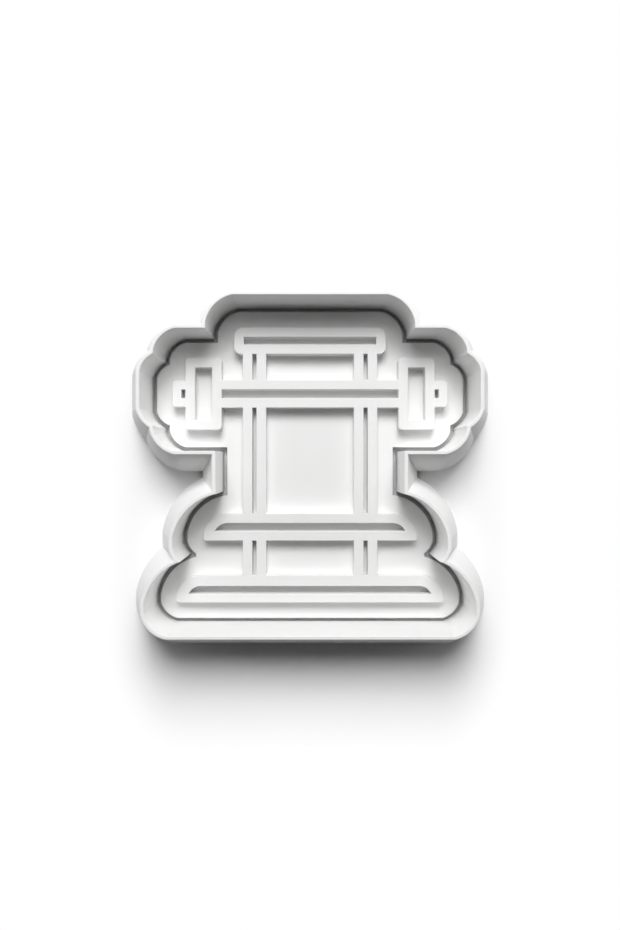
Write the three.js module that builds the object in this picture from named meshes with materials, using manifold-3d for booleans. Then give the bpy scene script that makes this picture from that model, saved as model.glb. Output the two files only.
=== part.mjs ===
// Cookie cutter with a loose stamp. Millimetres, +Z up, cutting edge upward.
// The origin is the middle of the outline, on the surface that both pieces lie on.
import * as THREE from 'three';
import { mergeVertices } from 'three/addons/utils/BufferGeometryUtils.js';
import Module from 'manifold-3d';

const wasm = await Module();
wasm.setup();

// Cutter wall, from the raised picture outwards
const doughMargin = 5.55;      // picture to the cutter's upright inner wall
const edgeWidth = 0.8;         // flat cutting edge
const footWidth = 4.9;         // wall at its foot
const footBand = 3;            // upright band below the sloping outer wall
const cutterHeight = 15.5;

// Stamp
const slideClearance = 0.95;   // plate to the cutter's wall, all round
const plateThickness = 2;
const reliefHeight = 3.2;
const stroke = 2.35;           // width of every raised line

// Raised picture, a barbell across a weight bench, drawn in lines round slots
const padLength = 37.1;
const padSlot = 1.8;
const padTopCorner = 1.5;
const padLowCorner = 1;
const padToBar = 6.33;
const barLength = 43.3;        // between the weights
const barSlot = 2.1;           // between the two rails of the bar
const weightSlotLength = 12.9;
const weightSlotWidth = 4.15;
const weightCorner = 0.5;
const collarSlotDepth = 0.8;   // from the weight outwards
const collarWidth = 6.4;
const collarCorner = 0.8;
const barToUpperFoot = 25.89;
const uprightSpacing = 27.2;   // middle to middle
const uprightSlot = 1;         // between the two lines of an upright
const upperFootLength = 52.2;
const lowerFootLength = 65.3;
const betweenFeet = 8.48;
const benchFootSlot = 1.95;
const benchFootShoulder = 6;   // round upper corner of a bench foot
const benchFootCorner = 0.7;

// Corners of the outline round the picture, before it grows to the plate and the wall
const padOutlineCorner = 2.55;
const weightOutlineCorner = 1.1;
const collarOutlineCorner = 0.45;
const benchFootOutlineShoulder = 7;
const benchFootOutlineCorner = 1.1;
const waistLength = 48;        // web of the outline between the two bench feet
const outlineTrim = 0.25;      // how much closer it lies at the ends of the weights and over the feet
const cornerFlat = 0.17;       // straight runs cut this far into the corner rounds

const arcSteps = 12;           // facets of a corner round
const cutPast = 1;             // how far a cut runs past the material

const white = new THREE.MeshStandardMaterial({ color: 0xf1f1f0, roughness: 0.5, metalness: 0 });

// Lines that several pieces share
const padHeight = padSlot + 2 * stroke;
const barWidth = barSlot + 2 * stroke;
const benchFootHeight = benchFootSlot + 2 * stroke;
const pictureHeight = padHeight + padToBar + barWidth + barToUpperFoot + betweenFeet + 2 * benchFootHeight;
const pictureTop = pictureHeight / 2;
const padLow = pictureTop - padHeight;
const barTop = padLow - padToBar;
const barMiddle = barTop - barWidth / 2;
const barLow = barTop - barWidth;
const upperFootTop = barLow - barToUpperFoot;
const upperFootLow = upperFootTop - benchFootHeight;
const lowerFootTop = upperFootLow - betweenFeet;
const lowerFootLow = lowerFootTop - benchFootHeight;
const weightReach = weightSlotLength / 2 + stroke;
const weightInner = barLength / 2;
const weightOuter = weightInner + weightSlotWidth + 2 * stroke;
const collarOuter = weightOuter + collarSlotDepth + stroke;
const uprightSlotInner = uprightSpacing / 2 - uprightSlot / 2;
const uprightSlotOuter = uprightSpacing / 2 + uprightSlot / 2;
const reliefTop = plateThickness + reliefHeight;

// A block is a rectangle with a round on each corner, given from the upper right one anticlockwise.
function block(x0, x1, y0, y1, corners) {
  return { x0, x1, y0, y1, corners };
}

function spanBlock(length, y0, y1, topCorner, lowCorner) {
  return block(-length / 2, length / 2, y0, y1, [topCorner, topCorner, lowCorner, lowCorner]);
}

function mirrored({ x0, x1, y0, y1, corners: [ne, nw, sw, se] }) {
  return block(-x1, -x0, y0, y1, [nw, ne, se, sw]);
}

// Outline of a block that has grown on every side. Its straight runs cut into its corner rounds by flat.
function outline({ x0, x1, y0, y1, corners }, grow = 0, flat = 0) {
  const sides = [[x1, y1, 1, 1], [x0, y1, -1, 1], [x0, y0, -1, -1], [x1, y0, 1, -1]];
  return corners.flatMap((corner, quarter) => {
    const [x, y, outX, outY] = sides[quarter];
    const radius = corner + grow;
    const centreX = x + outX * (grow + flat - radius);
    const centreY = y + outY * (grow + flat - radius);
    const lead = radius > flat ? Math.acos((radius - flat) / radius) : Math.PI / 4;
    const first = quarter * Math.PI / 2 + lead;
    const sweep = Math.PI / 2 - 2 * lead;
    const steps = radius > flat ? arcSteps : 0;
    return Array.from({ length: steps + 1 }, (_, step) => {
      const angle = first + sweep * step / arcSteps;
      return new THREE.Vector2(centreX + radius * Math.cos(angle), centreY + radius * Math.sin(angle));
    });
  });
}

function toSolid(geometry) {
  geometry.deleteAttribute('normal');
  geometry.deleteAttribute('uv');
  const merged = mergeVertices(geometry);
  const vertProperties = Float32Array.from(merged.getAttribute('position').array);
  const triVerts = Uint32Array.from(merged.getIndex().array);
  return new wasm.Manifold(new wasm.Mesh({ numProp: 3, vertProperties, triVerts }));
}

function prism(points, z0, z1) {
  const shape = new THREE.Shape(points);
  const geometry = new THREE.ExtrudeGeometry(shape, { depth: z1 - z0, bevelEnabled: false });
  return toSolid(geometry.translate(0, 0, z0));
}

// Closed solid through outlines with the same number of points, one at each level from the lowest up.
function loft(levels) {
  const count = levels[0].points.length;
  const position = levels.flatMap(({ points, z }) => points.flatMap((point) => [point.x, point.y, z]));
  const index = [];
  for (let level = 0; level < levels.length - 1; level++) {
    for (let i = 0; i < count; i++) {
      const low = level * count + i;
      const lowNext = level * count + (i + 1) % count;
      index.push(low, lowNext, lowNext + count, low, lowNext + count, low + count);
    }
  }
  const top = (levels.length - 1) * count;
  for (let i = 1; i < count - 1; i++) {
    index.push(0, i + 1, i, top, top + i, top + i + 1);
  }
  const geometry = new THREE.BufferGeometry();
  geometry.setAttribute('position', new THREE.Float32BufferAttribute(position, 3));
  geometry.setIndex(index);
  return toSolid(geometry);
}

function joined(solids) {
  return solids.reduce((whole, solid) => whole.add(solid));
}

function piece(name, solid) {
  const { vertProperties, triVerts } = solid.getMesh();
  const geometry = new THREE.BufferGeometry();
  geometry.setAttribute('position', new THREE.Float32BufferAttribute(vertProperties, 3));
  geometry.setIndex(Array.from(triVerts));
  geometry.computeVertexNormals();
  const mesh = new THREE.Mesh(geometry, white);
  mesh.name = name;
  return mesh;
}

// Blocks whose grown outlines, taken together, make the outline of the plate and of the cutter
function outlineBlocks() {
  const reach = weightReach - outlineTrim;
  const weight = block(weightInner, weightOuter, barMiddle - reach, barMiddle + reach,
    Array(4).fill(weightOutlineCorner));
  const collar = block(weightOuter, collarOuter, barMiddle - collarWidth / 2, barMiddle + collarWidth / 2,
    Array(4).fill(collarOutlineCorner));
  const uprightsLength = 2 * (uprightSlotOuter + stroke);
  const footBlock = (length, low) => spanBlock(length, low, low + benchFootHeight - outlineTrim,
    benchFootOutlineShoulder, benchFootOutlineCorner);
  return [
    spanBlock(padLength, padLow, pictureTop, padOutlineCorner, padOutlineCorner),
    weight,
    mirrored(weight),
    collar,
    mirrored(collar),
    spanBlock(uprightsLength, lowerFootTop - stroke, padLow + stroke, 0, 0),
    spanBlock(waistLength, lowerFootTop - stroke, upperFootLow + stroke, 0, 0),
    footBlock(upperFootLength, upperFootLow),
    footBlock(lowerFootLength, lowerFootLow),
  ];
}

function grownPrism(grow, z0, z1) {
  return joined(outlineBlocks().map((part) => prism(outline(part, grow, cornerFlat), z0, z1)));
}

// Outline wall with an upright inside and a sloping outside
function cutter() {
  const footGrow = doughMargin + footWidth;
  const edgeGrow = doughMargin + edgeWidth;
  const outside = joined(outlineBlocks().map((part) => loft([
    { points: outline(part, footGrow, cornerFlat), z: 0 },
    { points: outline(part, footGrow, cornerFlat), z: footBand },
    { points: outline(part, edgeGrow, cornerFlat), z: cutterHeight },
  ])));
  return piece('cutter', outside.subtract(grownPrism(doughMargin, -cutPast, cutterHeight + cutPast)));
}

function plate() {
  return piece('stamp_plate', grownPrism(doughMargin - slideClearance, 0, plateThickness));
}

// Raised part of a block, with an optional slot through it
function raised(name, outer, slot) {
  const whole = prism(outline(outer), plateThickness, reliefTop);
  return piece(name, slot ? whole.subtract(slot) : whole);
}

function slotPrism(inner) {
  return prism(outline(inner), plateThickness - cutPast, reliefTop + cutPast);
}

function headPad() {
  const outer = spanBlock(padLength, padLow, pictureTop, padTopCorner, padLowCorner);
  const inner = spanBlock(padLength - 2 * stroke, padLow + stroke, pictureTop - stroke, 0, 0);
  return raised('relief_head_pad', outer, slotPrism(inner));
}

function barRails() {
  const upper = spanBlock(barLength, barTop - stroke, barTop, 0, 0);
  const lower = spanBlock(barLength, barLow, barLow + stroke, 0, 0);
  return [raised('relief_bar_upper_rail', upper), raised('relief_bar_lower_rail', lower)];
}

function weights() {
  const low = barMiddle - weightReach;
  const top = barMiddle + weightReach;
  const outer = block(weightInner, weightOuter, low, top, Array(4).fill(weightCorner));
  const inner = block(weightInner + stroke, weightOuter - stroke, low + stroke, top - stroke,
    Array(4).fill(0));
  return [
    raised('relief_right_weight', outer, slotPrism(inner)),
    raised('relief_left_weight', mirrored(outer), slotPrism(mirrored(inner))),
  ];
}

// The slot of a collar runs through to the weight that it stands against
function collars() {
  const low = barMiddle - collarWidth / 2;
  const top = barMiddle + collarWidth / 2;
  const outer = block(weightOuter, collarOuter, low, top, [collarCorner, 0, 0, collarCorner]);
  const inner = block(weightOuter - cutPast, weightOuter + collarSlotDepth,
    barMiddle - barSlot / 2, barMiddle + barSlot / 2, Array(4).fill(0));
  return [
    raised('relief_right_collar', outer, slotPrism(inner)),
    raised('relief_left_collar', mirrored(outer), slotPrism(mirrored(inner))),
  ];
}

// Each upright is a pair of lines, broken by the bar and by the upper foot
function uprights() {
  const spans = [
    ['top', barTop, padLow],
    ['middle', upperFootTop, barLow],
    ['low', lowerFootTop, upperFootLow],
  ];
  const lines = [
    ['outer', uprightSlotOuter, uprightSlotOuter + stroke],
    ['inner', uprightSlotInner - stroke, uprightSlotInner],
  ];
  return spans.flatMap(([span, y0, y1]) => lines.flatMap(([line, x0, x1]) => {
    const right = block(x0, x1, y0, y1, Array(4).fill(0));
    return [
      raised(`relief_right_upright_${line}_${span}`, right),
      raised(`relief_left_upright_${line}_${span}`, mirrored(right)),
    ];
  }));
}

// A bench foot has round shoulders, which its slot follows down to a point at each end
function benchFoot(name, length, low) {
  const top = low + benchFootHeight;
  const shoulder = Math.min(benchFootShoulder, benchFootHeight - benchFootCorner);
  const outer = spanBlock(length, low, top, shoulder, benchFootCorner);
  const innerShoulder = Math.max(shoulder - stroke, 0);
  const inner = spanBlock(length - 2 * stroke, low - stroke, top - stroke, innerShoulder, 0);
  const slotBand = spanBlock(length, low + stroke, top, 0, 0);
  return raised(name, outer, slotPrism(inner).intersect(slotPrism(slotBand)));
}

const stamp = new THREE.Group();
stamp.add(
  plate(),
  headPad(),
  ...barRails(),
  ...weights(),
  ...collars(),
  ...uprights(),
  benchFoot('relief_upper_foot', upperFootLength, upperFootLow),
  benchFoot('relief_lower_foot', lowerFootLength, lowerFootLow),
);

const set = new THREE.Group();
set.add(cutter(), stamp);

export default set;
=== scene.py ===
from collections import namedtuple
from math import acos, asin, cos, pi, radians, sin, sqrt

import bmesh
import bpy
from mathutils import Matrix, Vector
from mathutils.geometry import intersect_sphere_sphere_2d


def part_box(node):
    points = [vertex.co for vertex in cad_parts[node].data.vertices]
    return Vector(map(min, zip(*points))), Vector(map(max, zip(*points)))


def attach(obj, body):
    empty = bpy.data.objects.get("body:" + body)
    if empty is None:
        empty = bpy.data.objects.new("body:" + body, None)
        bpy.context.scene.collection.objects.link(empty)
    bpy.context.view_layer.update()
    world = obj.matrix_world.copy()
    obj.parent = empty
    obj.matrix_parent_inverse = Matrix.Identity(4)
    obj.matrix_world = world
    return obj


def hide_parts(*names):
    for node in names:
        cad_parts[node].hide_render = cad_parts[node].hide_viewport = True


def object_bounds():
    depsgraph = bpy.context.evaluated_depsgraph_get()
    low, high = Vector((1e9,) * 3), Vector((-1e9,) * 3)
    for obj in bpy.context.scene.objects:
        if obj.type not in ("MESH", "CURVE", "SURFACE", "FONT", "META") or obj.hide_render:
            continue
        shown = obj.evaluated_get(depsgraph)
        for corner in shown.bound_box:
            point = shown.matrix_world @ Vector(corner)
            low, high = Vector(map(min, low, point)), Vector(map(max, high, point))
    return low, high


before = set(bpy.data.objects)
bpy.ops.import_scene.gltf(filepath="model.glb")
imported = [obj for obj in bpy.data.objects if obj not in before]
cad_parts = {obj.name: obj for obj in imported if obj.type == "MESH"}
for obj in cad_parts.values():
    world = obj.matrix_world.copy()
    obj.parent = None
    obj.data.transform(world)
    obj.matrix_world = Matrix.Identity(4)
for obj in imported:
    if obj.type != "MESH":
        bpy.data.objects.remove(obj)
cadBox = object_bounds()
scene = bpy.context.scene
mm = 0.001
quarter = pi / 2
weld = 0.0005 * mm                      # points closer than this are one point


class Wire:                             # a shader socket; sums on wires add Math nodes
    def __init__(self, tree, socket=None):
        self.tree = tree
        self.socket = socket

    def node(self, kind, setup=None, values=None, out=0):       # any node: settings first, then sockets
        made = self.tree.nodes.new(kind)
        for name, value in (setup or {}).items():
            setattr(made, name, value)
        for key, value in (values or {}).items():
            if isinstance(value, Wire):
                self.tree.links.new(value.socket, made.inputs[key])
            else:
                made.inputs[key].default_value = value
        return Wire(self.tree, made.outputs[out]) if made.outputs else made

    def other(self, name):              # another output of the same node
        return Wire(self.tree, self.socket.node.outputs[name])

    def math(self, operation, *sides):
        return self.node("ShaderNodeMath", {"operation": operation}, dict(enumerate(sides)))

    def __add__(self, side):
        return self.math("ADD", self, side)

    def __sub__(self, side):
        return self.math("SUBTRACT", self, side)

    def __rsub__(self, side):
        return self.math("SUBTRACT", side, self)

    def __mul__(self, side):
        return self.math("MULTIPLY", self, side)

    def __abs__(self):
        return self.math("ABSOLUTE", self)

    __radd__ = __add__
    __rmul__ = __mul__


def startMaterial(name):
    material = bpy.data.materials.new(name)
    material.use_nodes = True
    material.node_tree.nodes.clear()
    return material, Wire(material.node_tree)


def mixColours(share, first, last):     # a Mix node has its colours at sockets 6 and 7 and output 2
    return share.node("ShaderNodeMix", {"data_type": "RGBA"}, {"Factor": share, 6: first, 7: last}, out=2)


def mixVectors(operation, *sides, out="Vector"):
    return sides[0].node("ShaderNodeVectorMath", {"operation": operation}, dict(enumerate(sides)), out)


plasticLook = {
    "colour": (0.865, 0.865, 0.862, 1),
    "shadeColour": (0.845, 0.845, 0.84, 1),
    "patchScale": 90,
    "patchDetail": 3,
    "roughness": 0.5,
    "roughnessSpread": 0.12,
    "specular": 0.35,
    "layer": 0.2 * mm,                  # height of one printed layer
    "layerDepth": 0.003 * mm,
    "bead": 0.42 * mm,                  # width of one printed line on a level face
    "beadDepth": 0.0015 * mm,
    "levelPower": 4,                    # how soon a tilted face counts as a wall
    "grain": 0.004 * mm,
    "grainScale": 2600,
    "grainDetail": 2,
}


def makePlastic():
    look = plasticLook
    material, start = startMaterial("white_printed_plastic")
    place = start.node("ShaderNodeTexCoord", out="Object")
    axes = place.node("ShaderNodeSeparateXYZ", values={"Vector": place}, out="X")
    facing = place.node("ShaderNodeSeparateXYZ", values={
        "Vector": place.node("ShaderNodeNewGeometry", out="Normal")}, out="Z")
    upward = abs(facing)
    level = upward.math("POWER", upward, look["levelPower"])    # 1 on level faces, 0 on walls
    patches = place.node("ShaderNodeTexNoise", values={
        "Vector": place, "Scale": look["patchScale"], "Detail": look["patchDetail"]}, out="Fac")
    fine = place.node("ShaderNodeTexNoise", values={
        "Vector": place, "Scale": look["grainScale"], "Detail": look["grainDetail"]}, out="Fac")
    climb = axes.other("Z") * (pi / look["layer"])
    layers = abs(climb.math("SINE", climb))
    across = (axes + axes.other("Y")) * (pi / look["bead"] / sqrt(2))
    beads = abs(across.math("SINE", across))
    height = (1 - level) * layers * look["layerDepth"] + level * beads * look["beadDepth"]
    bump = place.node("ShaderNodeBump", values={                # heights are real lengths
        "Height": height + fine * look["grain"], "Distance": 1, "Strength": 1}, out="Normal")
    leastRough = look["roughness"] - look["roughnessSpread"] / 2
    shader = place.node("ShaderNodeBsdfPrincipled", values={
        "Base Color": mixColours(patches, look["shadeColour"], look["colour"]),
        "Roughness": patches * look["roughnessSpread"] + leastRough,
        "Specular IOR Level": look["specular"],
        "Normal": bump})
    place.node("ShaderNodeOutputMaterial", values={"Surface": shader})
    return material


plastic = makePlastic()
print("plastic ready")


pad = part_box("relief_head_pad")
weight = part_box("relief_right_weight")
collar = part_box("relief_right_collar")
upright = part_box("relief_right_upright_outer_middle")
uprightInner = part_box("relief_right_upright_inner_middle")
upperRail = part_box("relief_bar_upper_rail")
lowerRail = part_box("relief_bar_lower_rail")
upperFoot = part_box("relief_upper_foot")
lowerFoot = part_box("relief_lower_foot")
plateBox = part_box("stamp_plate")
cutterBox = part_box("cutter")
plateGrow = plateBox[1].x - collar[1].x         # from the picture to the plate's edge
footGrow = cutterBox[1].x - collar[1].x         # and to the cutter's foot

outline = {                             # of the wall and the plate, at the picture, before it grows
    "padCorner": 2.55 * mm,
    "weightCorner": 1.1 * mm,
    "collarCorner": 0.45 * mm,
    "footShoulder": 7 * mm,
    "footCorner": 1.1 * mm,
    "waist": 24 * mm,                   # half the web between the two feet
    "trim": 0.25 * mm,                  # it lies closer at the weights' ends and over the feet
    "columnTrim": 0.3 * mm,             # and beside the uprights
    "flat": 0.17 * mm,                  # straight runs cut this far into the rounds
    "arcSteps": 18,
    "creaseTurn": radians(6.5),         # upright edges that turn more stay sharp
}

Round = namedtuple("Round", "x y radius lead")


def roundAt(x, y, up, size, grow):      # a right-hand corner; lead is the turn that the flats take off it
    flat = outline["flat"]
    return Round(x + flat - size, y + up * (flat - size), size + grow, acos(1 - flat / (size + grow)))


def spotOn(bend, angle):
    return Vector((bend.x + bend.radius * cos(angle), bend.y + bend.radius * sin(angle)))


def crossings(one, two):                # points where two rounds cross, the right-hand one last
    spots = intersect_sphere_sphere_2d((one.x, one.y), one.radius, (two.x, two.y), two.radius)
    return sorted((spot for spot in spots if spot), key=lambda spot: spot.x)


def turnedDown(run, middle):            # the same run on the other side of a level line
    if isinstance(run, Vector):
        return Vector((run.x, 2 * middle - run.y))
    bend, first, last = run
    return bend._replace(y=2 * middle - bend.y), -last, -first


def halfOutline(grow):                  # right half from the top down: points, and rounds with two angles
    trim = outline["trim"]
    barMiddle = (weight[0].y + weight[1].y) / 2
    weightTop = weight[1].y - trim
    weightSide = weight[1].x + grow
    column = upright[1].x + grow - outline["columnTrim"]
    padRound = roundAt(pad[1].x, pad[1].y, 1, outline["padCorner"], grow)
    weightRound = roundAt(weight[1].x, weightTop, 1, outline["weightCorner"], grow)
    collarRound = roundAt(collar[1].x, collar[1].y, 1, outline["collarCorner"], grow)
    upperTop = roundAt(upperFoot[1].x, upperFoot[1].y - trim, 1, outline["footShoulder"], grow)
    upperLow = roundAt(upperFoot[1].x, upperFoot[0].y, -1, outline["footCorner"], grow)
    lowerTop = roundAt(lowerFoot[1].x, lowerFoot[1].y - trim, 1, outline["footShoulder"], grow)
    lowerLow = roundAt(lowerFoot[1].x, lowerFoot[0].y, -1, outline["footCorner"], grow)

    padLeave = max(padRound.lead, asin((weightTop + grow - padRound.y) / padRound.radius))
    padMeet = Vector((spotOn(padRound, padLeave).x, weightTop + grow))

    collarEnter = acos((weightSide - collarRound.x) / collarRound.radius)
    collarMeet = spotOn(collarRound, collarEnter)
    weightLeave = weightRound.lead
    if collarMeet.y > spotOn(weightRound, weightLeave).y:       # they meet on the weight's round
        collarMeet = crossings(weightRound, collarRound)[-1]
        collarEnter = asin((collarMeet.y - collarRound.y) / collarRound.radius)
        weightLeave = asin((collarMeet.y - weightRound.y) / weightRound.radius)

    footEnter = min(quarter - upperTop.lead, acos((column - upperTop.x) / upperTop.radius))
    footMeet = Vector((column, spotOn(upperTop, footEnter).y))
    neck = max([outline["waist"] + grow] + [spot.x for spot in crossings(upperLow, lowerTop)])

    wing = [(weightRound, quarter - weightRound.lead, weightLeave), collarMeet,
            (collarRound, collarEnter, collarRound.lead)]
    return [
        Vector((0, pad[1].y + grow)),
        (padRound, quarter - padRound.lead, padLeave),
        padMeet,
        *wing,
        *[turnedDown(run, barMiddle) for run in reversed(wing)],
        Vector((column, 2 * barMiddle - weightTop - grow)),
        footMeet,
        (upperTop, footEnter, upperTop.lead),
        (upperLow, -upperLow.lead, -acos((neck - upperLow.x) / upperLow.radius)),
        (lowerTop, acos((neck - lowerTop.x) / lowerTop.radius), lowerTop.lead),
        (lowerLow, -lowerLow.lead, lowerLow.lead - quarter),
        Vector((0, lowerFoot[0].y - grow)),
    ]


def drawHalf(bm, grow, z):              # edges of one half outline at a height
    before = set(bm.edges)
    last = None
    for run in halfOutline(grow):
        spot = run if isinstance(run, Vector) else spotOn(*run[:2])
        here = bm.verts.new((spot.x, spot.y, z))
        if last:
            bm.edges.new((last, here))
        last = here
        if run is not spot:
            bend, first, final = run
            turned = bmesh.ops.spin(bm, geom=[here], cent=(bend.x, bend.y, z), axis=(0, 0, 1),
                                    angle=final - first, steps=outline["arcSteps"])
            last = next(item for item in turned["geom_last"] if isinstance(item, bmesh.types.BMVert))
    return [edge for edge in bm.edges if edge not in before]


def roundCorner(bm, vert, size, segments):
    bmesh.ops.bevel(bm, geom=[vert], offset=size, offset_type="OFFSET", affect="VERTICES",
                    segments=segments, profile=0.5, material=-1)


def mirrorHalf(bm):                     # the left half, joined to the right one
    bmesh.ops.mirror(bm, geom=bm.verts[:] + bm.edges[:] + bm.faces[:], matrix=Matrix(), merge_dist=weld,
                     axis="X")
    bmesh.ops.remove_doubles(bm, verts=bm.verts[:], dist=weld)


def roundedSection(corners, segments):  # corners as growth, height and round; returns the section's points
    bm = bmesh.new()
    verts = [bm.verts.new((grow, 0, z)) for grow, z, _ in corners]
    bm.faces.new(verts)
    for vert, (_, _, size) in zip(verts, corners):
        if size:
            roundCorner(bm, vert, size, segments)
    bm.faces.ensure_lookup_table()
    points = [vert.co.copy() for vert in bm.faces[0].verts]
    bm.free()
    return points


def sweepSection(bm, points, closed):   # the section along the whole outline
    chains = [drawHalf(bm, point.x, point.z) for point in points]
    pairs = list(zip(chains, chains[1:]))
    if closed:
        pairs.append((chains[-1], chains[0]))
    for near, far in pairs:
        bmesh.ops.bridge_loops(bm, edges=near + far)
    mirrorHalf(bm)
    bmesh.ops.dissolve_degenerate(bm, edges=bm.edges[:], dist=weld)
    if not closed:
        bmesh.ops.edgeloop_fill(bm, edges=[edge for edge in bm.edges if edge.is_boundary])
    bmesh.ops.recalc_face_normals(bm, faces=bm.faces[:])
    for face in bm.faces:
        face.smooth = True
    for edge in bm.edges:               # straight walls keep their crease against the rounds
        lowest, highest = sorted(vert.co.z for vert in edge.verts)
        edge.smooth = highest - lowest < weld or edge.calc_face_angle(0) < outline["creaseTurn"]


def addPiece(name, bm, body, nodes):
    mesh = bpy.data.meshes.new(name)
    bm.to_mesh(mesh)
    bm.free()
    piece = bpy.data.objects.new(name, mesh)
    scene.collection.objects.link(piece)
    mesh.materials.append(plastic)
    normals = piece.modifiers.new("even_shading", "WEIGHTED_NORMAL")
    normals.keep_sharp = True
    normals.weight = 100                # large faces stay flat beside their small rounds
    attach(piece, body)
    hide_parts(*nodes)
    print(name, len(mesh.polygons), "faces")


cutterWall = {
    "slide": 0.95 * mm,                 # room between the plate and the wall
    "edge": 0.8 * mm,                   # flat cutting edge
    "band": 3 * mm,                     # upright band at the foot
    "edgeRound": 0.1 * mm,
    "innerFootRound": 0.08 * mm,
    "footRound": 0.2 * mm,
    "bandRound": 0.5 * mm,
    "segments": 3,
}


def makeCutter():
    wall = cutterWall
    low, top = cutterBox[0].z, cutterBox[1].z
    inner = plateGrow + wall["slide"]
    bm = bmesh.new()
    sweepSection(bm, roundedSection([
        (inner, low, wall["innerFootRound"]),
        (footGrow, low, wall["footRound"]),
        (footGrow, low + wall["band"], wall["bandRound"]),
        (inner + wall["edge"], top, wall["edgeRound"]),
        (inner, top, wall["edgeRound"]),
    ], wall["segments"]), closed=True)
    addPiece("cutter_wall", bm, "cutter", ["cutter"])


makeCutter()


plateShape = {
    "inset": 0.12 * mm,                 # a little smaller than its outline
    "edgeRound": 0.1 * mm,
    "rim": 1 * mm,                      # strip along the edge, before the flat middle is filled in
    "segments": 3,
}


def makePlate():
    low, top = plateBox[0].z, plateBox[1].z
    rim, size = plateShape["rim"], plateShape["edgeRound"]
    edge = plateGrow - plateShape["inset"]
    bm = bmesh.new()
    sweepSection(bm, roundedSection([
        (edge - rim, low, 0),
        (edge, low, size),
        (edge, top, size),
        (edge - rim, top, 0),
    ], plateShape["segments"]), closed=False)
    addPiece("stamp_base", bm, "stamp", ["stamp_plate"])


makePlate()


picture = {
    "padTopCorner": 2.2 * mm,
    "padLowCorner": 1.6 * mm,
    "weightCorner": 0.9 * mm,
    "collarCorner": 0.8 * mm,
    "collarSlot": 1 * mm,               # from the weight outwards
    "footCorner": 0.7 * mm,
    "upperSlotDrop": 0,                 # the slots of the feet lie this much below the middle
    "lowerSlotDrop": 0.28 * mm,
    "cornerSegments": 6,
    "shoulderSteps": 20,
    "tipSteps": 10,
    "edgeRound": 0.13 * mm,
    "edgeSegments": 3,
    "edgeTurn": radians(50),            # upper edges that turn more are rounded
    "creaseTurn": radians(40),          # edges that turn more stay sharp
    "sink": 0.3 * mm,                   # how far the lines reach into the plate
}
stroke = upperRail[1].y - upperRail[0].y


def addPatch(bm, x0, x1, y0, y1):
    made = bmesh.ops.create_grid(bm, x_segments=1, y_segments=1, size=0.5)
    bmesh.ops.scale(bm, vec=(x1 - x0, y1 - y0, 1), verts=made["verts"])
    bmesh.ops.translate(bm, vec=((x0 + x1) / 2, (y0 + y1) / 2, 0), verts=made["verts"])


def spinRun(bm, vert, centre, angle, steps):            # points that follow a vertex round a centre
    before = set(bm.verts)
    bmesh.ops.spin(bm, geom=[vert], cent=centre, axis=(0, 0, 1), angle=angle, steps=steps)
    made = [item for item in bm.verts if item not in before]
    return sorted(made, key=lambda item: (item.co - vert.co).length)


def addFoot(bm, box, drop):             # half a bench foot: straight line, round shoulder, lower line
    (_, low), (half, top) = box[0].xy, box[1].xy
    size = picture["footCorner"]
    upper, lower = stroke + drop, stroke - drop
    shoulder = top - low - size
    middle = Vector((half - shoulder, low + size, 0))
    tip = asin((lower - size) / (shoulder - upper))
    addPatch(bm, 0, middle.x, top - upper, top)
    radial = [bm.verts.new((middle.x, y, 0)) for y in (top - upper, top)]
    edge = bm.edges.new(radial)
    swept = bmesh.ops.spin(bm, geom=radial + [edge], cent=middle, axis=(0, 0, 1), angle=tip - quarter,
                           steps=picture["shoulderSteps"])
    ends = [item for item in swept["geom_last"] if isinstance(item, bmesh.types.BMVert)]
    inner, outer = sorted(ends, key=lambda vert: (vert.co - middle).length)
    run = [bm.verts.new(inner.co), bm.verts.new(outer.co)]
    run += spinRun(bm, run[1], middle, -tip, picture["tipSteps"])
    run += spinRun(bm, run[-1], Vector((half - size, low + size, 0)), -quarter, picture["cornerSegments"])
    run += [bm.verts.new((0, low, 0)), bm.verts.new((0, low + lower, 0))]
    bm.faces.new(run)


def drawLines(bm):                      # right half of the picture, flat
    slot = (pad[0].y + stroke, pad[1].y - stroke)
    addPatch(bm, 0, pad[1].x, slot[1], pad[1].y)
    addPatch(bm, 0, pad[1].x, pad[0].y, slot[0])
    addPatch(bm, pad[1].x - stroke, pad[1].x, *slot)
    for rail in (upperRail, lowerRail):
        addPatch(bm, 0, rail[1].x, rail[0].y, rail[1].y)
    for x0, x1 in ((weight[0].x, weight[0].x + stroke), (weight[1].x - stroke, weight[1].x)):
        addPatch(bm, x0, x1, weight[0].y, weight[1].y)
    for y0, y1 in ((weight[0].y, weight[0].y + stroke), (weight[1].y - stroke, weight[1].y)):
        addPatch(bm, weight[0].x + stroke, weight[1].x - stroke, y0, y1)
    addPatch(bm, collar[0].x, collar[1].x, upperRail[0].y, collar[1].y)
    addPatch(bm, collar[0].x, collar[1].x, collar[0].y, lowerRail[1].y)
    addPatch(bm, collar[0].x + picture["collarSlot"], collar[1].x, lowerRail[1].y, upperRail[0].y)
    for line in ("outer", "inner"):
        for span in ("top", "middle", "low"):
            low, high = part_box(f"relief_right_upright_{line}_{span}")
            addPatch(bm, low.x, high.x, low.y, high.y)
    addFoot(bm, upperFoot, picture["upperSlotDrop"])
    addFoot(bm, lowerFoot, picture["lowerSlotDrop"])


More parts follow.
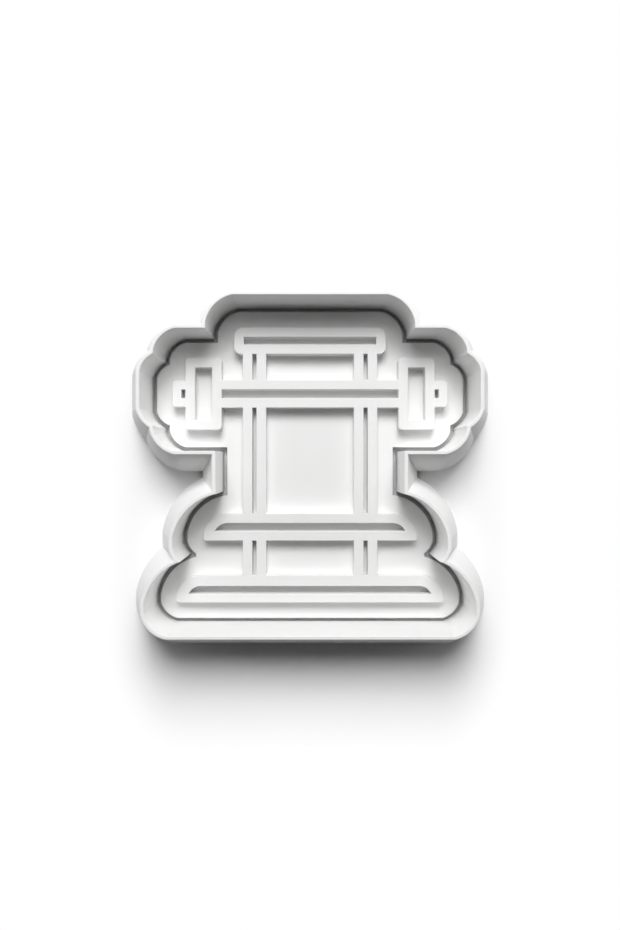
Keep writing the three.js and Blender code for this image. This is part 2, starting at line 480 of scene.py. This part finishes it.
def joinLines(bm):                      # lines that meet get points in the same places
    cutX = [corner.x for box in (upright, uprightInner) for corner in box]
    cutX += [pad[1].x - stroke, collar[0].x + picture["collarSlot"]]
    cutY = [corner.y for box in (upperRail, lowerRail, collar) for corner in box]
    cutY += [weight[0].y + stroke, weight[1].y - stroke]
    cuts = [((x, 0, 0), (1, 0, 0)) for x in cutX] + [((0, y, 0), (0, 1, 0)) for y in cutY]
    for spot, normal in cuts:
        bmesh.ops.bisect_plane(bm, geom=bm.verts[:] + bm.edges[:] + bm.faces[:], dist=weld, plane_co=spot,
                               plane_no=normal)
    bmesh.ops.remove_doubles(bm, verts=bm.verts[:], dist=weld)


def roundLines(bm):
    corners = [(pad[1].x, pad[1].y, "padTopCorner"), (pad[1].x, pad[0].y, "padLowCorner")]
    corners += [(side.x, end.y, "weightCorner") for side in weight for end in weight]
    corners += [(collar[1].x, y, "collarCorner") for y in (collar[0].y, collar[1].y)]
    for x, y, size in corners:
        vert = min(bm.verts, key=lambda item: (item.co - Vector((x, y, 0))).length)
        roundCorner(bm, vert, picture[size], picture["cornerSegments"])


def raiseLines(bm):
    low, top = upperRail[0].z - picture["sink"], upperRail[1].z
    raised = bmesh.ops.extrude_face_region(bm, geom=bm.faces[:])
    lifted = [item for item in raised["geom"] if isinstance(item, bmesh.types.BMVert)]
    bmesh.ops.translate(bm, vec=(0, 0, top - low), verts=lifted)
    bmesh.ops.translate(bm, vec=(0, 0, low), verts=bm.verts[:])
    bmesh.ops.recalc_face_normals(bm, faces=bm.faces[:])
    edges = [edge for edge in bm.edges if edge.calc_face_angle(0) > picture["edgeTurn"]
             and max(vert.co.z for vert in edge.verts) > top - weld]
    bmesh.ops.bevel(bm, geom=edges, offset=picture["edgeRound"], offset_type="OFFSET", affect="EDGES",
                    segments=picture["edgeSegments"], profile=0.5, material=-1)


def makePicture():
    bm = bmesh.new()
    drawLines(bm)
    joinLines(bm)
    roundLines(bm)
    mirrorHalf(bm)
    bmesh.ops.recalc_face_normals(bm, faces=bm.faces[:])
    raiseLines(bm)
    for face in bm.faces:
        face.smooth = True
    for edge in bm.edges:
        edge.smooth = edge.calc_face_angle(0) < picture["creaseTurn"]
    addPiece("stamp_picture", bm, "stamp", [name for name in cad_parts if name.startswith("relief_")])


makePicture()


studio = {
    "white": (1, 1, 1, 1),
    "floorHalf": 2.5,
    "floorDrop": 0.02 * mm,
    "floorColour": (1, 1, 1, 1),
    "floorBounce": (0.4, 0.4, 0.4, 1),  # what it throws back at the object
    "floorRoughness": 1,
    "floorSpecular": 0,
    "paintedGapShade": (0.14, 0.14, 0.14, 1),      # painted shade for the floor down in a narrow gap
    "narrowReach": 2.5 * mm,
    "narrowSamples": 8,
    "narrow": 0.15,                     # share of open sky down there, and on the clear floor
    "clear": 0.45,
    "whiteBox": (31.5 * mm, 43 * mm, 0),        # past this box the floor fades to plain white
    "whiteStretch": (1.5, 1, 0),        # and sooner at the sides
    "whiteFrom": 12 * mm,
    "whiteTo": 30 * mm,
    "softboxPlace": (0, 150 * mm, 220 * mm),
    "softboxSize": 170 * mm,
    "softboxShare": 0.405,              # shares of the light that falls on the floor
    "windowSpread": radians(28),
    "windows": [                        # turn from the top of the picture, height, share
        (0, radians(50), 0.375),
        (radians(35), radians(32), 0.03),
        (radians(-35), radians(32), 0.03),
        (radians(72), radians(10), 0.05),
        (radians(-72), radians(10), 0.05),
    ],
    "sky": 0.03,
}


def addLamp(name, kind, energy):
    light = bpy.data.lights.new(name, kind)
    light.energy = energy
    lamp = bpy.data.objects.new(name, light)
    scene.collection.objects.link(lamp)
    return lamp


def seenRays(start):                    # 1 for what the camera sees, also in a reflection
    rays = start.node("ShaderNodeLightPath", out="Is Camera Ray")
    return rays.math("MAXIMUM", rays.math("MAXIMUM", rays, rays.other("Is Glossy Ray")),
                     rays.other("Is Transmission Ray"))


def makeFloorLook():
    material, start = startMaterial("white_floor")
    place = start.node("ShaderNodeTexCoord", out="Object")
    past = mixVectors("SUBTRACT", mixVectors("ABSOLUTE", place), studio["whiteBox"])
    past = mixVectors("MULTIPLY", mixVectors("MAXIMUM", past, (0, 0, 0)), studio["whiteStretch"])
    away = mixVectors("LENGTH", past, out="Value")
    far = away.node("ShaderNodeMapRange", {"interpolation_type": "SMOOTHSTEP"}, {
        "Value": away, "From Min": studio["whiteFrom"], "From Max": studio["whiteTo"]})
    seen = seenRays(start)
    pale = mixColours(seen, studio["floorBounce"], studio["floorColour"])
    # painted shade: where the floor sees little open sky, as in the gap between plate and wall, its colour
    # turns dark
    sky = start.node("ShaderNodeAmbientOcclusion", {"samples": studio["narrowSamples"]}, {
        "Distance": studio["narrowReach"]}, out="AO")
    clear = sky.node("ShaderNodeMapRange", values={
        "Value": sky, "From Min": studio["narrow"], "From Max": studio["clear"]})
    lit = start.node("ShaderNodeBsdfPrincipled", values={
        "Base Color": mixColours(clear, studio["paintedGapShade"], pale),
        "Roughness": studio["floorRoughness"],
        "Specular IOR Level": studio["floorSpecular"]})
    white = start.node("ShaderNodeEmission", values={"Color": studio["white"], "Strength": 1})
    shader = start.node("ShaderNodeMixShader", values={0: far * seen, 1: lit, 2: white})
    start.node("ShaderNodeOutputMaterial", values={"Surface": shader})
    return material


def makeFloor():
    bm = bmesh.new()
    bmesh.ops.create_grid(bm, x_segments=1, y_segments=1, size=studio["floorHalf"])
    bmesh.ops.translate(bm, vec=(0, 0, cadBox[0].z - studio["floorDrop"]), verts=bm.verts[:])
    mesh = bpy.data.meshes.new("floor")
    bm.to_mesh(mesh)
    bm.free()
    mesh.materials.append(makeFloorLook())
    floor = bpy.data.objects.new("floor", mesh)
    scene.collection.objects.link(floor)


def makeLamps():
    spot = Vector(studio["softboxPlace"])
    fullPower = pi ** 2 * spot.length ** 3 / spot.z             # a share of 1 on the floor below
    softbox = addLamp("softbox", "AREA", studio["softboxShare"] * fullPower)
    softbox.data.shape = "DISK"
    softbox.data.size = studio["softboxSize"]
    softbox.location = spot
    softbox.rotation_euler = spot.to_track_quat("Z", "Y").to_euler()
    for turn, height, share in studio["windows"]:
        window = addLamp("window", "SUN", share * pi / sin(height))
        window.data.angle = studio["windowSpread"]
        window.rotation_euler = (height - quarter, 0, -turn)


def makeSky():                          # white where it is seen, faint as a light
    world = bpy.data.worlds.new("studio")
    world.use_nodes = True
    world.node_tree.nodes.clear()
    start = Wire(world.node_tree)
    strength = seenRays(start) * (1 - studio["sky"]) + studio["sky"]
    back = start.node("ShaderNodeBackground", values={"Color": studio["white"], "Strength": strength})
    start.node("ShaderNodeOutputWorld", values={"Surface": back})
    scene.world = world


cameraSet = {
    "height": 170.5 * mm,
    "ahead": 1.227 * mm,                # point of the frame straight below the camera
    "lens": 26.17,
    "shiftY": -0.0054,
    "clipStart": 10 * mm,
}


def makeCamera():
    camera = bpy.data.cameras.new("camera")
    camera.lens = cameraSet["lens"]
    camera.shift_y = cameraSet["shiftY"]
    camera.clip_start = cameraSet["clipStart"]
    holder = bpy.data.objects.new("camera", camera)
    holder.location = (0, cameraSet["ahead"], cameraSet["height"])
    scene.collection.objects.link(holder)
    scene.camera = holder


makeFloor()
makeLamps()
makeSky()
makeCamera()
scene.view_settings.view_transform = "Standard"
print("studio ready")
